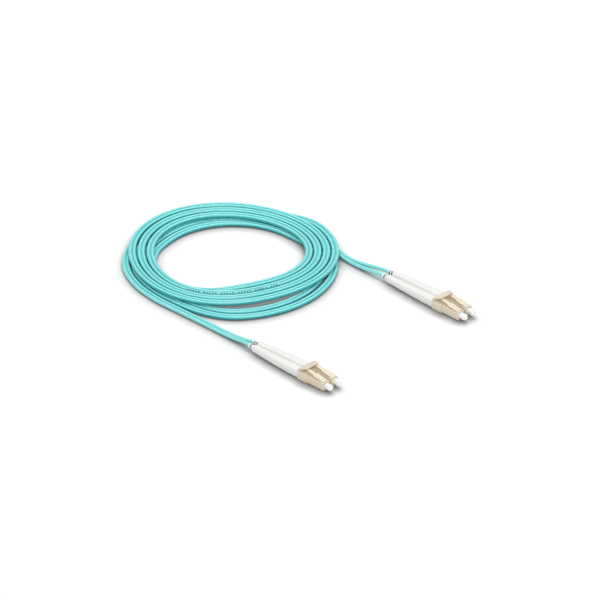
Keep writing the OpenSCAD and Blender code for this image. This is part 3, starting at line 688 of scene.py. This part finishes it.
def makeBoot(plug, c=bootSettings):
    low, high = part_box(f"boot_{plug}")
    centre = plugAxis(plug)
    halfWide, halfHigh = (high.y - low.y) / 2, (high.z - low.z) / 2
    length = high.x - low.x

    def outerAt(back):
        taper = max(0.0, back - c["gripLength"]) / (length - c["gripLength"])
        return halfWide + (c["rearHalf"] - halfWide) * taper

    edge = c["edge"]
    outer = [(back, outerAt(back)) for back in evenSteps(edge, length - edge, c["pitch"])]
    bend = [(edge - edge * math.cos(math.radians(a)), edge - edge * math.sin(math.radians(a)))
            for a in (0, 30, 60)]
    front = [(back, outerAt(0) - inset) for back, inset in bend]
    rear = [(length - back, outerAt(length) - inset) for back, inset in reversed(bend)]
    bore = [(length, c["rearBore"]), (length * c["rearBoreShare"], c["rearBore"]),
            (length * c["frontBoreShare"], c["frontBore"]), (0, c["frontBore"])]
    profile = [(high.x - back, radius) for back, radius in front + outer + rear + bore]
    bm = lathe(profile, c["steps"], centre)
    for vert in bm.verts:
        side, up = vert.co.y - centre.y, vert.co.z - centre.z
        radius = math.hypot(side, up)
        cosine, sine = abs(side) / radius, abs(up) / radius
        back = high.x - vert.co.x
        if radius < c["frontBore"] + c["boreMargin"] and radius < outerAt(back) - edge:
            continue
        squared = (cosine**c["squareness"] + sine**c["squareness"]) ** (-1 / c["squareness"])
        grow = 1 + (squared - 1) * (1 - c["squareLoss"] * back / length)
        if c["slotsFrom"] < back < c["slotsTo"]:
            number = round((back - c["slotsFrom"]) / c["slotPitch"])
            off = abs(back - c["slotsFrom"] - number * c["slotPitch"]) / c["slotHalf"]
            facing = cosine if number % 2 else sine  # slots lie in turn at the sides, and above and below
            cut = c["slotDepth"] * (1 - smooth(*c["slotFade"], off)) * smooth(*c["slotReach"], facing)
            grow -= cut / radius
        flatten = 1 + (halfHigh / halfWide - 1) * (1 - back / length)
        if side * sideOf(plug) < 0:
            rearShare = c["rearFillShare"][plug[0]]
            fill = c["innerFill"][plug[0]] * (1 - (1 - rearShare) * (back / length) ** 3)
            side *= 1 + smooth(0, c["fillReach"], cosine) * fill / outerAt(back)
        vert.co.y = centre.y + side * grow
        vert.co.z = centre.z + up * grow * flatten
    bendPlug(bm.verts, plug)
    addObject(f"ribbedBoot_{plug}", addMesh(f"ribbedBoot_{plug}", bm, finishes["boot_rubber"], 50),
              root, "boot_rubber", f"boot_{plug}")


sleeveSettings = {
    "outer": 0.00135, "inner": 0.00104, "edge": 0.00008, "flare": 0.00006,
    "pitch": 0.0003, "steps": 40,
}


def makeSleeve(plug, c=sleeveSettings):
    low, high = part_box(f"marker_sleeve_{plug}")
    edge, outer = c["edge"], c["outer"]
    # a cut length of soft tube, its ends a little wider than its middle
    outside = [(x, outer - c["flare"] * math.sin(math.pi * (x - low.x) / (high.x - low.x)))
               for x in evenSteps(high.x - edge, low.x + edge, c["pitch"])]
    profile = [(high.x, c["inner"] + edge), (high.x, outer - edge), *outside, (low.x, outer - edge),
               (low.x, c["inner"] + edge), (low.x + edge, c["inner"]), (high.x - edge, c["inner"])]
    bm = lathe(profile, c["steps"], plugAxis(plug))
    bendPlug(bm.verts, plug)
    name = f"clearSleeve_{plug}"
    addObject(name, addMesh(name, bm, sleeveFinishes[sideOf(plug)]), root, "clear_sleeve",
              f"marker_sleeve_{plug}")


innerSettings = {
    "cord_jacket": {"outer": 0.001, "inner": 0.0006},
    "fibre_buffer": {"outer": 0.00045, "inner": 0.0000625},
    "pitch": 0.0012, "steps": 24,
}


def makeInnerTube(plug, node, body, slotName, c=innerSettings):
    # the jacket, and the coated fibre inside it, follow the boot's bend
    low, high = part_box(f"{node}_{plug}")
    places = evenSteps(high.x, low.x, c["pitch"])
    outside = [(x, c[node]["outer"]) for x in places]
    inside = [(x, c[node]["inner"]) for x in reversed(places)]
    bm = lathe(outside + inside, c["steps"], plugAxis(plug))
    bendPlug(bm.verts, plug)
    name = f"bent_{node}_{plug}"
    addObject(name, addMesh(name, bm, finishes[slotName]), body, slotName, f"{node}_{plug}")


for plug in plugs:
    makeBoot(plug)
    makeSleeve(plug)
    makeInnerTube(plug, "cord_jacket", root, "cord_jacket")
    makeInnerTube(plug, "fibre_buffer", f"ferrule_{plug}", "buffer_plastic")
print("boots ready")


# plugs, clips and triggers

softening = {  # how far each moulded piece's edges are rounded, in metres
    "plug_housing": 0.00012, "latch": 0.0001, "duplex_clip": 0.00014, "trigger": 0.00016,
}
sharperThan = 38  # degrees; edges above this are rounded
smoothUpTo = 50  # degrees; edges above this keep a crease in the shading


def makeSoftened(kind, place, body, slotName="plug_plastic"):
    bm = bmesh.new()
    bm.from_mesh(frame["nodes"][f"{kind}_{place}"].data)
    bmesh.ops.remove_doubles(bm, verts=bm.verts, dist=0.000002)
    bmesh.ops.dissolve_limit(bm, angle_limit=math.radians(1), verts=bm.verts, edges=bm.edges)
    sharp = [edge for edge in bm.edges
             if edge.is_manifold and edge.calc_face_angle() > math.radians(sharperThan)]
    bmesh.ops.bevel(bm, geom=sharp, offset=softening[kind], offset_type="OFFSET", segments=2, profile=0.5,
                    affect="EDGES", clamp_overlap=True, material=-1)
    name = f"moulded_{kind}_{place}"
    mesh = addMesh(name, bm, finishes[slotName], smoothUpTo)
    piece = addObject(name, mesh, body, slotName, f"{kind}_{place}")
    weighted = piece.modifiers.new("evenShading", "WEIGHTED_NORMAL")
    weighted.keep_sharp = True


for plug in plugs:
    makeSoftened("plug_housing", plug, root)
    makeSoftened("latch", plug, f"latch_{plug}")
for end in ends:
    makeSoftened("duplex_clip", end, root)
    makeSoftened("trigger", end, f"trigger_{end}")
print("plugs ready")


springSettings = {"wire": 0.0003, "middle": 0.0022, "turns": 6, "pointsPerTurn": 20, "travel": 0.0015}


def makeSpring(plug, c=springSettings):
    # one wound wire
    low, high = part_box(f"ferrule_spring_{plug}")
    centre = (low + high) / 2
    radius, half = c["middle"] / 2, c["wire"] / 2
    count = c["turns"] * c["pointsPerTurn"]
    wire = []
    for i in range(count + 1):
        turned = 2 * math.pi * i / c["pointsPerTurn"]
        wire.append(Vector((low.x + half + (high.x - low.x - c["wire"]) * i / count,
                            centre.y + radius * math.cos(turned), centre.z + radius * math.sin(turned))))
    bm = bmesh.new()
    addTube(bm, "wire", wire, half, roundness=2)
    bmesh.ops.recalc_face_normals(bm, faces=bm.faces)
    name = f"woundSpring_{plug}"
    spring = addObject(name, addMesh(name, bm, finishes["spring_steel"], 60), root, "spring_steel",
                       f"ferrule_spring_{plug}")
    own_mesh(spring)


for plug in plugs:
    makeSpring(plug)
print("springs ready")


# dust caps

capSettings = {
    "knobHalf": 0.00175, "knobStart": 0.00012,  # the knob begins this far in front of the nose
    "skirtHalf": 0.0016, "boreHalf": 0.000645, "boreEnd": 0.00035,
    "domeAngles": range(6, 91, 7),
    "groove": (0.0011, 0.0009, 0.0007), "grooveDepth": 0.00008,  # how far in front of the knob's rear
    "edge": 0.0001, "skirtEdge": 0.0002,
}


def makeCap(plug, c=capSettings):
    low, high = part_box(f"dust_cap_{plug}")
    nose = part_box(f"plug_housing_{plug}")[1].x
    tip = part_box(f"ferrule_{plug}")[1].x
    knob = c["knobHalf"]
    dome = [(high.x - knob + knob * math.cos(math.radians(a)), knob * math.sin(math.radians(a)))
            for a in c["domeAngles"]]
    start = nose + c["knobStart"]
    skirt = (high.z - low.z) / 2 - (knob - c["skirtHalf"])
    edge, skirtEdge = c["edge"], c["skirtEdge"]
    grooveFront, grooveMiddle, grooveRear = (start + place for place in c["groove"])
    body = [(grooveFront, knob), (grooveMiddle, knob - c["grooveDepth"]), (grooveRear, knob),
            (start + edge, knob), (start, knob - edge), (start, skirt),
            (low.x + skirtEdge, skirt), (low.x, skirt - skirtEdge), (low.x, c["boreHalf"] + edge),
            (low.x + edge, c["boreHalf"]), (tip + c["boreEnd"], c["boreHalf"]), (tip + c["boreEnd"], 0.0)]
    profile = [(high.x, 0.0)] + dome + body
    bm = lathe(profile, 48, plugAxis(plug))
    name = f"roundCap_{plug}"
    addObject(name, addMesh(name, bm, finishes["cap_plastic"], 40), f"dust_cap_{plug}", "cap_plastic",
              f"dust_cap_{plug}")


for plug in plugs:
    makeCap(plug)
print("caps ready")
